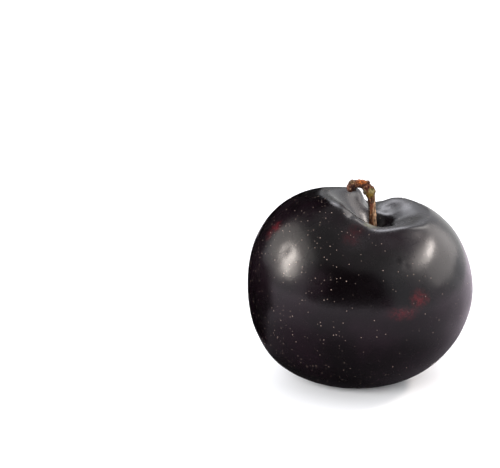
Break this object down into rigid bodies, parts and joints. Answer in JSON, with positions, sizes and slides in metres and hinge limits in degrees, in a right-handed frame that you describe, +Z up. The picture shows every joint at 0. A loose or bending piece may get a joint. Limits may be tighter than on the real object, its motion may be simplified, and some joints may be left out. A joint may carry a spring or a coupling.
{
  "type": "plum",
  "caption": "Whole dark plum, broad and round, with a deep stem hollow, a notched seam at the back and a short crooked woody stem.",
  "frame": {"origin": "centre of the bounding box at its base, on the surface the plum rests on", "axes": "+Z up, -Y towards the side with the open view of the stem hollow, +X to the right seen from there"},
  "size_m": [0.062, 0.0596, 0.0577],
  "materials": {
    "plum_skin": "waxy gloss, near-black purple with a few red patches",
    "stem_bark": "dry, rough, brown with an olive node"
  },
  "bodies": {
    "root": {"fruit": "plum_skin", "stem": "stem_bark"}
  },
  "joints": []
}
